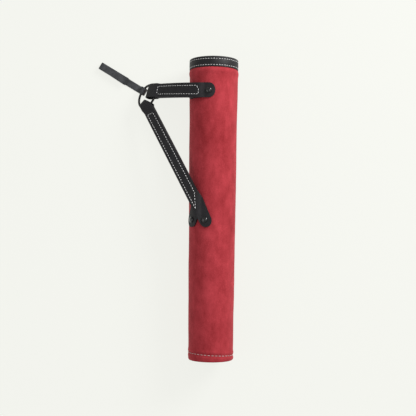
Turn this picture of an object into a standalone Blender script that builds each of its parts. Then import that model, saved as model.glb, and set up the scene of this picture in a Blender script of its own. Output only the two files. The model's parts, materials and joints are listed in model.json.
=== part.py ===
"""A tube quiver for arrows, lying on its side with its straps, ring and belt hook laid out to its left.

+Y runs along the tube towards its mouth and +Z is up from the surface that it lies on. The origin is on
that surface, under the middle of the whole object. The tube's pieces are turned about the tube's axis and
hang from an empty at the centre of its closed end. Plan places of the straps, ring and hook are measured
from that axis and that end, and heights from the surface.
"""

import bisect
import math

import bmesh
import bpy
from mathutils import Matrix, Vector

MM = 0.001
DEG = math.pi / 180
GAP = 0.3 * MM  # left between pieces that touch

# The tube, which tapers a little towards its closed end
TUBE_X = 75.2 * MM
TUBE_Y = -240.1 * MM
TUBE_LENGTH = 478.4 * MM
BASE_RADIUS = 36.1 * MM
MOUTH_RADIUS = 39.0 * MM
TUBE_SIDES = 64
SLEEVE_WALL = 2.3 * MM
SLEEVE_TUCK_WALL = 0.75 * MM  # where the binding squeezes it
LINER_WALL = 1.4 * MM

# The binding folded over the mouth
BAND_HEIGHT = 16.6 * MM
BAND_LEATHER = 1.2 * MM
BAND_RADIUS = 38.95 * MM

# The sewn-in bottom and the pad that the points land on
CUP_HEIGHT = 16.5 * MM
CUP_LEATHER = 2.6 * MM
CUP_RIM_LEATHER = 1.6 * MM
PAD_HEIGHT = 6 * MM

# Strap leather, and the line along the tube where each strap parts into two tails
LEATHER = 2.1 * MM
HALF_WIDTHS = {"upper": 11.5 * MM, "lower": 10 * MM}
SPLIT_ANGLE = -36 * DEG  # about the tube's axis from straight up, positive to the right
HINGE_LIFT = 5.3 * MM  # of a strap's middle above the suede at that line

# Rivets: distance up the tube and angle round it
RIVETS = {
    "upper_front": (424.6 * MM, -10.9 * DEG),
    "upper_back": (424.6 * MM, -61.1 * DEG),
    "lower_front": (223.2 * MM, -17.3 * DEG),
    "lower_back": (223.2 * MM, -54.7 * DEG),
}
DOME_RADIUS = 4.75 * MM
DOME_HEIGHT = 2.6 * MM
POST_RADIUS = 1.5 * MM
RIVET_HOLE_RADIUS = 1.8 * MM
BACK_CAP_RADIUS = 4.2 * MM
BACK_CAP_HEIGHT = 1.3 * MM
CURVE_ROOM = 0.35 * MM  # a flat cap's extra stand-off from the curved wall

# Each strap's tails, on the suede: the strap's crossing of the split line, the tail's slant from the tube's
# axis, and how far its rounded end reaches past the rivet
TAILS = {
    "upper": {"crossing": 424.9 * MM, "slant": 90 * DEG, "reach": 9.8 * MM},
    "lower": {"crossing": 251 * MM, "slant": 24 * DEG, "reach": 12 * MM},
}
TAIL_START = 1.2 * MM  # from the split line

# Each strap from its fold at the ring to the split line: the fold's plan place and height, its slopes at the
# ring and at the tube, its roll at the ring, the length of the open loop round the ring, and what is cut off
# the fold's corner beside the other strap, across and along
STRAPS = {
    "upper": {
        "fold": Vector((-106.0, 430.2, 21.3)) * MM,
        "slopes": (42 * DEG, 25 * DEG),
        "roll": -16 * DEG,
        "loop": (20 * MM, 27 * MM),
        "corner": (1.8 * MM, 8 * MM),
    },
    "lower": {
        "fold": Vector((-111.9, 415.6, 22.3)) * MM,
        "slopes": (27 * DEG, 10 * DEG),
        "roll": 34 * DEG,
        "loop": (14 * MM, 22 * MM),
        "corner": (8.5 * MM, 15 * MM),
    },
}
LAYER_SPACING = LEATHER + GAP  # between the middles of a strap's two layers
LOOP_HALF_HEIGHT = 4.3 * MM  # from a loop's middle to the middle of its leather
STRAP_STATIONS = 16
CURVE_SAMPLES = 200

# The ring
RING_PLAN = Vector((-107.6, 423.0, 0)) * MM  # its centre; its height follows from the hook lying flat
RING_RADIUS = 19.8 * MM
RING_WIRE_RADIUS = 1.8 * MM
RING_LEAN = 49 * DEG  # of its plane from level
RING_HEADING = 22 * DEG  # of its raised side, right of it and towards the closed end

# The belt hook: a flat steel strip with an eye rolled at one end and a sprung leaf folded back at the other
HOOK_STEEL = 1.4 * MM
HOOK_HALF_WIDTH = 5.7 * MM
HOOK_HEADING = 149.4 * DEG  # in plan, from +X, pointing away from the ring
EYE_AT_RING_ANGLE = -159 * DEG
EYE_RADIUS = 5.2 * MM  # to the middle of the steel
EYE_TURN = 300 * DEG
EYE_INSET = 0.7 * MM  # of the eye's axis inside the wire's, because the wire curves through it
EYE_DROP = 0.1 * MM  # of the eye below the flat of the strip
NECK_LENGTH = 9 * MM  # from the eye's axis to that flat
HOOK_REACH = 81.8 * MM  # from the eye's axis to the outside of the far bend
BELT_SLOT = 5 * MM
LEAF_LENGTH = 49 * MM
LEAF_TIP_HALF_WIDTH = 6.6 * MM
LEAF_TIP_SHIFT = 0.9 * MM  # of the tip's middle off the strip's own middle, towards the closed end
FLARE_LENGTH = 9 * MM
FLARE_RISE = 2.6 * MM

COLOURS = {
    "suede": ((0.36, 0.045, 0.05, 1), 0.95, 0),
    "board": ((0.08, 0.075, 0.07, 1), 0.7, 0),
    "leather": ((0.018, 0.018, 0.02, 1), 0.5, 0),
    "felt": ((0.05, 0.05, 0.055, 1), 0.95, 0),
    "lacquered_brass": ((0.012, 0.012, 0.014, 1), 0.15, 0.6),
    "steel_wire": ((0.05, 0.05, 0.055, 1), 0.35, 0.9),
    "spring_steel": ((0.07, 0.072, 0.078, 1), 0.5, 0.7),
}


def clear_scene():
    for thing in list(bpy.data.objects):
        bpy.data.objects.remove(thing)


def material(name, finish):
    colour, roughness, metallic = COLOURS[finish]
    made = bpy.data.materials.new(name)
    made.use_nodes = True
    shader = made.node_tree.nodes["Principled BSDF"]
    shader.inputs["Base Color"].default_value = colour
    shader.inputs["Roughness"].default_value = roughness
    shader.inputs["Metallic"].default_value = metallic
    return made


def empty(name, place, parent=None):
    made = bpy.data.objects.new(name, None)
    bpy.context.scene.collection.objects.link(made)
    made.matrix_world = place
    made.parent = parent
    return made


def piece(name, shape, finish, parent=None, place=None):
    """Makes the object for a finished shape, faces outward and smooth where it is round."""
    bmesh.ops.recalc_face_normals(shape, faces=shape.faces)
    mesh = bpy.data.meshes.new(name)
    shape.to_mesh(mesh)
    shape.free()
    mesh.shade_smooth()
    mesh.set_sharp_from_angle(angle=40 * DEG)
    mesh.materials.append(material(name, finish))
    made = bpy.data.objects.new(name, mesh)
    bpy.context.scene.collection.objects.link(made)
    made.parent = parent
    made.matrix_local = place or Matrix.Identity(4)
    return made


def turned(profile, sides, closed=True):
    """Spins (radius, height) points about Z. An open profile starts and ends on the axis."""
    shape = bmesh.new()
    corners = [shape.verts.new((radius, 0, height)) for radius, height in profile]
    pairs = list(zip(corners, corners[1:])) + ([(corners[-1], corners[0])] if closed else [])
    edges = [shape.edges.new(pair) for pair in pairs]
    bmesh.ops.spin(
        shape, geom=corners + edges, cent=(0, 0, 0), axis=(0, 0, 1), angle=2 * math.pi, steps=sides, use_merge=True
    )
    bmesh.ops.remove_doubles(shape, verts=shape.verts, dist=1e-6)
    return shape


def slab(under, over):
    """Closes two equal grids of points, [station][across], into one solid."""
    shape = bmesh.new()
    low = [[shape.verts.new(point) for point in row] for row in under]
    high = [[shape.verts.new(point) for point in row] for row in over]
    last, side = len(low) - 1, len(low[0]) - 1
    for i in range(last):
        for j in range(side):
            shape.faces.new((low[i][j], low[i][j + 1], low[i + 1][j + 1], low[i + 1][j]))
            shape.faces.new((high[i][j], high[i + 1][j], high[i + 1][j + 1], high[i][j + 1]))
        for j in (0, side):
            shape.faces.new((low[i][j], low[i + 1][j], high[i + 1][j], high[i][j]))
    for i in (0, last):
        for j in range(side):
            shape.faces.new((low[i][j], high[i][j], high[i][j + 1], low[i][j + 1]))
    return shape


def suede_radius(along):
    return BASE_RADIUS + (MOUTH_RADIUS - BASE_RADIUS) * along / TUBE_LENGTH


def tube_matrix():
    """From the tube's own frame, with its axis along Z and -Y upwards, to the world. It lies on its taper."""
    lean = math.atan((MOUTH_RADIUS - BASE_RADIUS) / TUBE_LENGTH)
    return Matrix.Translation((TUBE_X, TUBE_Y, BASE_RADIUS)) @ Matrix.Rotation(lean - math.pi / 2, 4, "X")


def on_tube(along, angle, height):
    """A point in the tube's own frame, at a height above the suede."""
    radius = suede_radius(along) + height
    return Vector((radius * math.sin(angle), -radius * math.cos(angle), along))


def from_tube(point):
    """A plan place and height to the world."""
    return Vector((TUBE_X, TUBE_Y, 0)) + point


def make_sleeve(tube):
    band_foot = TUBE_LENGTH - BAND_HEIGHT
    tuck_radius = BAND_RADIUS - BAND_LEATHER - GAP
    top = TUBE_LENGTH - 2.4 * MM
    bottom = 0.2 * MM
    profile = [
        (suede_radius(0) - SLEEVE_WALL, bottom),
        (suede_radius(0) - 1.2 * MM, bottom),
        (suede_radius(0) - 0.35 * MM, 0.9 * MM),
        (suede_radius(0), 3 * MM),
        (suede_radius(band_foot), band_foot - 1.5 * MM),
        (tuck_radius, band_foot - 0.5 * MM),
        (tuck_radius, top),
        (tuck_radius - SLEEVE_TUCK_WALL, top),
    ]
    return piece("suede_sleeve", turned(profile, TUBE_SIDES), "suede", tube)


def make_liner(tube):
    bottom, top = 1 * MM, TUBE_LENGTH - 1.8 * MM
    outer = [suede_radius(height) - SLEEVE_WALL - GAP for height in (bottom, top)]
    profile = [
        (outer[0], bottom),
        (outer[1], top),
        (outer[1] - LINER_WALL, top),
        (outer[0] - LINER_WALL, bottom),
    ]
    return piece("liner_tube", turned(profile, TUBE_SIDES), "board", tube)


def liner_bore(along):
    return suede_radius(along) - SLEEVE_WALL - GAP - LINER_WALL


def make_band(tube):
    foot = TUBE_LENGTH - BAND_HEIGHT
    inner = liner_bore(foot) - GAP
    inner_foot = foot + 0.6 * MM
    under_top = TUBE_LENGTH - 1.5 * MM
    round_start = TUBE_LENGTH - 1.4 * MM
    middle = (BAND_RADIUS + inner - BAND_LEATHER) / 2
    shoulder = 0.7 * MM
    profile = [
        (BAND_RADIUS, foot),
        (BAND_RADIUS, round_start),
        (BAND_RADIUS - shoulder, TUBE_LENGTH - 0.4 * MM),
        (middle, TUBE_LENGTH),
        (inner - BAND_LEATHER + shoulder, TUBE_LENGTH - 0.4 * MM),
        (inner - BAND_LEATHER, round_start),
        (inner - BAND_LEATHER, inner_foot),
        (inner, inner_foot),
        (inner, under_top),
        (BAND_RADIUS - BAND_LEATHER, under_top),
        (BAND_RADIUS - BAND_LEATHER, foot),
    ]
    piece("mouth_band", turned(profile, TUBE_SIDES), "leather", tube)


def make_base(tube):
    radius = liner_bore(0) - GAP
    bore = radius - CUP_RIM_LEATHER
    edge = 0.6 * MM
    cup = [
        (0, 0),
        (radius - edge, 0),
        (radius, edge),
        (radius, CUP_HEIGHT),
        (bore, CUP_HEIGHT),
        (bore, CUP_LEATHER + edge),
        (bore - edge, CUP_LEATHER),
        (0, CUP_LEATHER),
    ]
    piece("base_cup", turned(cup, TUBE_SIDES, closed=False), "leather", tube)
    pad_foot = CUP_LEATHER + GAP
    pad = [
        (0, pad_foot),
        (bore - edge - GAP, pad_foot),
        (bore - edge - GAP, pad_foot + PAD_HEIGHT),
        (0, pad_foot + PAD_HEIGHT),
    ]
    piece("base_pad", turned(pad, TUBE_SIDES // 2, closed=False), "felt", tube)


def rivet_place(along, angle):
    """A rivet's own frame: Z out of the tube, its origin on the suede."""
    out = on_tube(along, angle, 1) - on_tube(along, angle, 0)
    return Matrix.Translation(on_tube(along, angle, 0)) @ out.to_track_quat("Z", "Y").to_matrix().to_4x4()


def make_rivets(tube):
    seat = GAP + LEATHER + GAP
    back_face = -(SLEEVE_WALL + GAP + LINER_WALL) - GAP - CURVE_ROOM
    socket, post_in = 0.8 * MM, 0.5 * MM
    steps = 4
    dome = [
        (
            DOME_RADIUS * math.cos(step * 90 * DEG / steps),
            seat + 0.5 * MM + (DOME_HEIGHT - 0.5 * MM) * math.sin(step * 90 * DEG / steps),
        )
        for step in range(steps)
    ]
    front = (
        [(0, back_face - post_in), (POST_RADIUS, back_face - post_in), (POST_RADIUS, seat), (DOME_RADIUS, seat)]
        + dome
        + [(0, seat + DOME_HEIGHT)]
    )
    back = [
        (0, back_face - BACK_CAP_HEIGHT),
        (BACK_CAP_RADIUS - 1 * MM, back_face - BACK_CAP_HEIGHT),
        (BACK_CAP_RADIUS, back_face - 0.4 * MM),
        (BACK_CAP_RADIUS, back_face),
        (RIVET_HOLE_RADIUS, back_face),
        (RIVET_HOLE_RADIUS, back_face - socket),
        (0, back_face - socket),
    ]
    for name, (along, angle) in RIVETS.items():
        place = rivet_place(along, angle)
        piece(f"{name}_rivet", turned(front, 20, closed=False), "lacquered_brass", tube, place)
        piece(f"{name}_rivet_back", turned(back, 20, closed=False), "lacquered_brass", tube, place)


def rivet_hole_cutter(tube):
    """Four pins through the tube wall and the tails. It only cuts."""
    cutter = bmesh.new()
    length = 24 * MM
    for along, angle in RIVETS.values():
        bmesh.ops.create_cone(
            cutter,
            cap_ends=True,
            segments=16,
            radius1=RIVET_HOLE_RADIUS,
            radius2=RIVET_HOLE_RADIUS,
            depth=length,
            matrix=rivet_place(along, angle),
        )
    made = piece("rivet_hole_cutter", cutter, "board", tube)
    made.hide_render = True
    made.display_type = "WIRE"
    return made


def drill(target, cutter):
    hole = target.modifiers.new("rivet_holes", "BOOLEAN")
    hole.operation = "DIFFERENCE"
    hole.solver = "EXACT"
    hole.object = cutter


def make_tail(strap, side, tube, cutter):
    """One tail, lying on the suede from the split line to its rounded end. The back one mirrors the front one."""
    facts = TAILS[strap]
    along_rivet, angle_rivet = RIVETS[f"{strap}_{side}"]
    half_width = HALF_WIDTHS[strap]
    sign = 1 if side == "front" else -1
    arc_rivet = abs(angle_rivet - SPLIT_ANGLE) * suede_radius(along_rivet)
    lean = facts["slant"]
    straight = math.hypot(arc_rivet, facts["crossing"] - along_rivet)
    across_steps, along_steps = 4, 7
    under, over = [], []
    for i in range(along_steps + 1):
        rows = [], []
        for j in range(-across_steps, across_steps + 1):
            across = half_width * math.sin(j / across_steps * 90 * DEG)
            start = (TAIL_START - across * math.cos(lean)) / math.sin(lean)
            end = straight + facts["reach"] * math.sqrt(max(0, 1 - (across / half_width) ** 2))
            run = start + (end - start) * i / along_steps
            arc = run * math.sin(lean) + across * math.cos(lean)
            along = facts["crossing"] - run * math.cos(lean) + across * math.sin(lean)
            angle = SPLIT_ANGLE + sign * arc / suede_radius(along)
            for row, height in zip(rows, (GAP, GAP + LEATHER)):
                row.append(on_tube(along, angle, height))
        under.append(rows[0])
        over.append(rows[1])
    tail = piece(f"{strap}_{side}_tail", slab(under, over), "leather", tube)
    drill(tail, cutter)


def hinge_point(strap):
    """Where a strap's middle crosses the split line, in the world."""
    return tube_matrix() @ on_tube(TAILS[strap]["crossing"], SPLIT_ANGLE, HINGE_LIFT)


def hinge_line():
    return (hinge_point("upper") - hinge_point("lower")).normalized()


def strap_line(strap):
    """The strap's middle line, from its fold to the split line, as a curve with the two slopes at its ends.

    The strap rolls about that line until it lies along the split line.
    """
    facts = STRAPS[strap]
    start, end = from_tube(facts["fold"]), hinge_point(strap)
    plan = Vector((end.x - start.x, end.y - start.y, 0))
    length, heading = plan.length, plan.normalized()
    rise_start, rise_end = (math.tan(slope) for slope in facts["slopes"])
    meet = (end.z - start.z - rise_end * length) / (rise_start - rise_end)
    knee = start + heading * meet + Vector((0, 0, rise_start * meet))

    def point_at(t):
        return start * (1 - t) ** 2 + knee * 2 * t * (1 - t) + end * t * t

    def way_at(t):
        return ((knee - start) * (1 - t) + (end - knee) * t).normalized()

    points = [point_at(i / CURVE_SAMPLES) for i in range(CURVE_SAMPLES + 1)]
    runs = [0]
    for here, there in zip(points, points[1:]):
        runs.append(runs[-1] + (there - here).length)

    def level_and_upright(tangent):
        level = Vector((-tangent.y, tangent.x, 0)).normalized()
        return level, tangent.cross(level)

    end_tangent = way_at(1)
    beside_end = hinge_line().cross(end_tangent)
    level, upright = level_and_upright(end_tangent)
    end_roll = math.atan(-level.dot(beside_end) / upright.dot(beside_end))

    def frame(run):
        """The point, the way to the tube, the way across and the outward normal at a distance from the fold.

        The line goes straight on past either end.
        """
        inside = min(max(run, 0), runs[-1])
        i = min(bisect.bisect_right(runs, inside), CURVE_SAMPLES) - 1
        t = (i + (inside - runs[i]) / (runs[i + 1] - runs[i])) / CURVE_SAMPLES
        tangent = way_at(t)
        point = point_at(t) + tangent * (run - inside)
        level, upright = level_and_upright(tangent)
        roll = facts["roll"] * (1 - t) + end_roll * t
        across = level * math.cos(roll) + upright * math.sin(roll)
        normal = upright * math.cos(roll) - level * math.sin(roll)
        return point, tangent, across, normal

    return frame, runs[-1]


def make_strap(strap, hinge):
    """One strip of leather, folded round the ring and laid back on itself up to the split line."""
    frame, length = strap_line(strap)
    loop_full, loop_end = STRAPS[strap]["loop"]
    cut_across, cut_along = STRAPS[strap]["corner"]
    nose = LOOP_HALF_HEIGHT + LEATHER / 2
    half_width = HALF_WIDTHS[strap]

    def half_height(run):
        part = min(1, max(0, (loop_end - run) / (loop_end - loop_full)))
        ease = part * part * (3 - 2 * part)
        return LAYER_SPACING / 2 + (LOOP_HALF_HEIGHT - LAYER_SPACING / 2) * ease

    _, end_tangent, end_across, _ = frame(length)
    slant = end_tangent.dot(hinge_line()) / end_across.dot(hinge_line())

    def side_run(run, aside):
        """Where a station crosses a side, so that the last one lies along the split line."""
        return run + slant * aside * max(0, run - loop_end) / (length - loop_end)

    runs = [nose + (loop_end - nose) * i / 8 for i in range(8)]
    runs += [loop_end + (length - loop_end) * i / STRAP_STATIONS for i in range(STRAP_STATIONS + 1)]
    path = [(run, half_height(run), 90 * DEG) for run in reversed(runs)]
    for step in range(1, 8):
        turn = step * 180 * DEG / 8
        path.append((nose - LOOP_HALF_HEIGHT * math.sin(turn), LOOP_HALF_HEIGHT * math.cos(turn), 90 * DEG + turn))
    path += [(run, -half_height(run), 270 * DEG) for run in runs]
    inner, outer = [], []
    for run, height, facing in path:
        trimmed = cut_across * max(0, 1 - max(0, run) / cut_along)
        inner.append([])
        outer.append([])
        for aside in (-half_width, half_width - trimmed):
            point, tangent, across, normal = frame(side_run(run, aside))
            middle = point + across * aside + normal * height - hinge.location
            out = normal * math.sin(facing) + tangent * math.cos(facing)
            inner[-1].append(middle - out * LEATHER / 2)
            outer[-1].append(middle + out * LEATHER / 2)
    piece(f"{strap}_strap", slab(inner, outer), "leather", hinge)


def ring_axes():
    """The way from the ring's centre to its raised side, and the level way across it."""
    raised = Vector(
        (
            math.cos(RING_HEADING) * math.cos(RING_LEAN),
            -math.sin(RING_HEADING) * math.cos(RING_LEAN),
            math.sin(RING_LEAN),
        )
    )
    level = Vector((-math.sin(RING_HEADING), -math.cos(RING_HEADING), 0))
    return raised, level


def eye_from_ring():
    """From the ring's centre to the hook's eye."""
    raised, level = ring_axes()
    way = raised * math.cos(EYE_AT_RING_ANGLE) + level * math.sin(EYE_AT_RING_ANGLE)
    return way * (RING_RADIUS - EYE_INSET)


def ring_centre():
    """The ring stands in the eye of the hook, which lies flat."""
    height = EYE_RADIUS + HOOK_STEEL / 2 - eye_from_ring().z
    return from_tube(RING_PLAN + Vector((0, 0, height)))


def make_ring(pivot):
    wire_steps = 12
    profile = [
        (
            RING_RADIUS + RING_WIRE_RADIUS * math.cos(step * 2 * math.pi / wire_steps),
            RING_WIRE_RADIUS * math.sin(step * 2 * math.pi / wire_steps),
        )
        for step in range(wire_steps)
    ]
    piece("ring", turned(profile, 48), "steel_wire", pivot)


def hook_place():
    """The hook's own frame: X from the eye's axis to the far bend, Z up, its origin on the eye's axis."""
    eye = ring_centre() + eye_from_ring()
    return Matrix.Translation(eye) @ Matrix.Rotation(HOOK_HEADING, 4, "Z")


def strip(path, half_widths, shifts):
    """A steel strip along (x, z, facing) points, with its width along Y."""
    inner, outer = [], []
    for (x, z, facing), half, shift in zip(path, half_widths, shifts):
        out = Vector((math.cos(facing), 0, math.sin(facing))) * HOOK_STEEL / 2
        sides = [Vector((x, shift - half, z)), Vector((x, shift + half, z))]
        inner.append([side - out for side in sides])
        outer.append([side + out for side in sides])
    return slab(inner, outer)


def leaf_root():
    """The end of the far bend's upper side, in the hook's own frame."""
    bend = (BELT_SLOT + HOOK_STEEL) / 2
    return Vector((HOOK_REACH - bend - HOOK_STEEL / 2, 0, -EYE_RADIUS + EYE_DROP + 2 * bend))


def make_hook(pivot):
    bend = (BELT_SLOT + HOOK_STEEL) / 2
    root = leaf_root()
    eye_steps, bend_steps = 18, 8
    path = []
    for step in range(eye_steps):
        turn = EYE_TURN * (1 - step / eye_steps)
        path.append((-EYE_RADIUS * math.sin(turn), -EYE_RADIUS * math.cos(turn), -90 * DEG - turn))
    path.append((0, -EYE_RADIUS, -90 * DEG))
    path += [(x, -EYE_RADIUS + EYE_DROP, -90 * DEG) for x in (NECK_LENGTH, root.x)]
    for step in range(1, bend_steps + 1):
        turn = step * 180 * DEG / bend_steps
        path.append((root.x + bend * math.sin(turn), root.z - bend * (1 + math.cos(turn)), turn - 90 * DEG))
    count = len(path)
    piece("belt_hook", strip(path, [HOOK_HALF_WIDTH] * count, [0] * count), "spring_steel", pivot)


def make_leaf(pivot):
    flat = LEAF_LENGTH - FLARE_LENGTH
    steps = 6
    path = [(-GAP, 0, 90 * DEG), (-flat / 2, 0, 90 * DEG), (-flat, 0, 90 * DEG)]
    for step in range(1, steps + 1):
        part = step / steps
        slope = math.atan(2 * FLARE_RISE * part / FLARE_LENGTH)
        path.append((-flat - FLARE_LENGTH * part, FLARE_RISE * part * part, 90 * DEG - slope))
    parts = [-x / LEAF_LENGTH for x, _, _ in path]
    halves = [HOOK_HALF_WIDTH + (LEAF_TIP_HALF_WIDTH - HOOK_HALF_WIDTH) * part for part in parts]
    piece("clip_leaf", strip(path, halves, [LEAF_TIP_SHIFT * part for part in parts]), "spring_steel", pivot)


def main():
    clear_scene()
    tube = empty("tube_axis", tube_matrix())
    cutter = rivet_hole_cutter(tube)
    drill(make_sleeve(tube), cutter)
    drill(make_liner(tube), cutter)
    make_band(tube)
    make_base(tube)
    make_rivets(tube)
    for strap in TAILS:
        for side in ("front", "back"):
            make_tail(strap, side, tube, cutter)
    hinge = empty("strap_hinge", Matrix.Translation(hinge_point("upper")))
    for strap in STRAPS:
        make_strap(strap, hinge)
    raised, level = ring_axes()
    facing = raised.cross(level).to_track_quat("Z", "Y").to_matrix().to_4x4()
    make_ring(empty("ring_axis", Matrix.Translation(ring_centre()) @ facing))
    make_hook(empty("hook_eye_axis", hook_place()))
    make_leaf(empty("leaf_root", hook_place() @ Matrix.Translation(leaf_root())))


main()
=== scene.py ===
"""A tube quiver in red suede and black leather, with a ring and a belt hook, lying on a pale floor.

The tube's pieces are shaped in the tube's own frame, with its axis along Z from its closed end and -Y
upwards, and then laid down. Each strap is one strip of leather: a tail riveted to the tube, a run to the
ring, a fold round it, a run back under the first, a turn, and a second tail.
"""

import bisect
import json
import math

import bmesh
import bpy
from bpy.props import FloatProperty, FloatVectorProperty, PointerProperty
from mathutils import Matrix, Vector, noise


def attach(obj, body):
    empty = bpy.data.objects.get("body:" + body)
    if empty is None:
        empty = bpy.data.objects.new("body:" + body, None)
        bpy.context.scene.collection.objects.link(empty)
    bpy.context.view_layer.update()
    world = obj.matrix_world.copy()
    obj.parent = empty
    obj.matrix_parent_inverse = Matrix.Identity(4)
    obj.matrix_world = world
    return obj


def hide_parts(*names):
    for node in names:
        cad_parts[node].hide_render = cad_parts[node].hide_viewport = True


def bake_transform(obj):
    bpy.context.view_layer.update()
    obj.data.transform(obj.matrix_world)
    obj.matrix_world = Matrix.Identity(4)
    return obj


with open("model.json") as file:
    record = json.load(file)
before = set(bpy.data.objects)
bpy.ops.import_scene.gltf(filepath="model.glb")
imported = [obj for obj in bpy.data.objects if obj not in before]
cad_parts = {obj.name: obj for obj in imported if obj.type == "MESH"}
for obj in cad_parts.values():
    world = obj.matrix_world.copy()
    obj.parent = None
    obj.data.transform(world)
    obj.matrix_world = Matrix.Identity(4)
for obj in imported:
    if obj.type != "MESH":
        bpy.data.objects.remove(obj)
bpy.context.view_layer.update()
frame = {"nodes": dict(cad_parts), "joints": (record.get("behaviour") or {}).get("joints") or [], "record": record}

bl_info = {
    "name": "Tube quiver",
    "version": (1, 0, 0),
    "blender": (4, 5, 0),
    "location": "3D View > Sidebar > Quiver",
    "description": "Makes a suede tube quiver with riveted leather straps, a ring and a belt hook",
    "category": "Mesh",
}

MM = 0.001
DEG = math.pi / 180
GAP = 0.3 * MM

MOUNTS = {mount["name"]: mount for mount in frame["record"]["mounts"]}
JOINTS = {joint["name"]: joint for joint in frame["joints"]}

# The tube
BASE_CENTRE = Vector(MOUNTS["base_face"]["pos_m"])
TUBE_WAY = -Vector(MOUNTS["base_face"]["axis"])
TUBE_LENGTH = 478.4 * MM
BASE_RADIUS = 36.1 * MM
MOUTH_RADIUS = 39.0 * MM
SLEEVE_WALL = 2.3 * MM
SLEEVE_TUCK_WALL = 0.75 * MM
LINER_WALL = 1.4 * MM
BAND_HEIGHT = 16.6 * MM
BAND_LEATHER = 1.2 * MM
BAND_RADIUS = 38.95 * MM
BAND_FOOT = TUBE_LENGTH - BAND_HEIGHT
BAND_ROWS = (474.0 * MM, 464.4 * MM)
BAND_STITCHES = 56
BASE_STITCHES = 38
BACK_SEAM_ANGLE = -125 * DEG
BACK_SEAM_FOOT = 18 * MM
BACK_SEAM_ENDS = 22 * MM  # left unsewn at both ends together
SKIN_FINE_FOOT = 3.4 * MM  # the suede's rows are close from here to above the bottom seam
SKIN_FINE_STEP = 0.75 * MM
SKIN_MOUTH_START = 440 * MM  # and close again from here to the binding
SKIN_MOUTH_STEP = 1.05 * MM
SKIN_GIVE_END = 460.3 * MM
SWELL_BELOW_BINDING = 456 * MM

# Straps and tails
LEATHER = 2.1 * MM
SPLIT_ANGLE = -36 * DEG
HINGE_LIFT = 5.3 * MM
RIVETS = {
    "upper_front": (424.6 * MM, -10.9 * DEG),
    "upper_back": (424.6 * MM, -61.1 * DEG),
    "lower_front": (223.2 * MM, -17.3 * DEG),
    "lower_back": (223.2 * MM, -54.7 * DEG),
}
DOME_RADIUS = 4.75 * MM
DOME_HEIGHT = 2.6 * MM
CAP_FACE = -(SLEEVE_WALL + GAP + LINER_WALL) - GAP - 0.35 * MM  # the back caps' face, below the suede
STRAPS = {
    "upper": {
        "half_width": 11.5 * MM,
        "crossing": 424.9 * MM,
        "slant": 90 * DEG,
        "reach": 9.8 * MM,
        "landing": 12 * MM,
        "fold": Vector((-106.0, 430.2, 21.3)) * MM,
        "slopes": (42 * DEG, 25 * DEG),
        "roll": -16 * DEG,
        "loop": (20 * MM, 27 * MM),
        "corner": (1.8 * MM, 8 * MM),
    },
    "lower": {
        "half_width": 10 * MM,
        "crossing": 251 * MM,
        "slant": 24 * DEG,
        "reach": 12 * MM,
        "landing": 8 * MM,
        "fold": Vector((-111.9, 415.6, 22.3)) * MM,
        "slopes": (27 * DEG, 10 * DEG),
        "roll": 34 * DEG,
        "loop": (14 * MM, 22 * MM),
        "corner": (8.5 * MM, 15 * MM),
    },
}
LAYER_SPACING = LEATHER + GAP
LOOP_HALF_HEIGHT = 4.3 * MM
LANDING_SLOPE = -0.19
TURN_RADIUS = (HINGE_LIFT - LAYER_SPACING / 2 - GAP - LEATHER / 2) / 2
TURN_EASE = 11 * MM  # from the turn to where the back tail has no more drift
CURVE_SAMPLES = 200
COLUMNS = 6  # on each side of a strap's middle

# Where each strap is sewn, as (distance from its fold, distance aside) in mm
STRAP_SEWING = {
    "upper": [(23.5, -6.2), (23.5, 6.9), (95.5, 6.9), (99.3, 2.8), (99.6, -6.2), (23.5, -6.2)],
    "lower": [(203, -5.6), (26.5, -5.6), (30.5, 5.2), (179.0, 5.2), (203, -5.6)],
}
STITCH_SHARE = 0.66  # of the pitch that shows as thread

# Ring and hook
RING_CENTRE = Vector(JOINTS["ring_turn"]["pos_m"])
RING_AXIS = Vector(JOINTS["ring_turn"]["axis"])
RING_RADIUS = 19.8 * MM
RING_WIRE_RADIUS = 1.8 * MM
WELD_ANGLE = 40 * DEG
EYE_PLACE = Vector(JOINTS["hook_swing"]["pos_m"])
EYE_AXIS = Vector(JOINTS["hook_swing"]["axis"])
HOOK_STEEL = 1.4 * MM
HOOK_HALF_WIDTH = 5.7 * MM
EYE_RADIUS = 5.2 * MM
EYE_TURN = 300 * DEG
EYE_DROP = 0.1 * MM
NECK_LENGTH = 9 * MM
HOOK_REACH = 81.8 * MM
BELT_SLOT = 5 * MM
LEAF_LENGTH = 49 * MM
LEAF_TIP_HALF_WIDTH = 6.6 * MM
LEAF_TIP_SHIFT = 0.9 * MM
FLARE_LENGTH = 9 * MM
FLARE_RISE = 2.6 * MM
LEAF_ROOT_GAP = 0.06 * MM

# The stage: each light's place, target, size and power
LIGHTS = {
    "key": ((1.3, 1.05, 1.0), (0.05, 0.08, 0.03), 0.75, 35),
    "top": ((0.3, 0.2, 1.9), (0, 0, 0), 1.2, 5),
    "fill": ((-1.6, -0.4, 1.2), (0, 0, 0.03), 1.4, 5),
}
WORLD_STRENGTH = 0.4
FLOOR_HALF_SIZE = 6
FLOOR_GLOW = 0.9
CAMERA_LENS = 72.26
CAMERA_SENSOR = 36
CAMERA_SHIFT = 0.0697
CAMERA_TURN = 0.69 * DEG
CAMERA_PLACE = (BASE_CENTRE.x - 6.2 * MM, BASE_CENTRE.y + 196.0 * MM, 1.3745)


def length_property(name, description, default):
    return FloatProperty(name=name, description=description, default=default, unit="LENGTH")


def colour_property(name, description, default):
    return FloatVectorProperty(name=name, description=description, default=default, subtype="COLOR", size=3)


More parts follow.
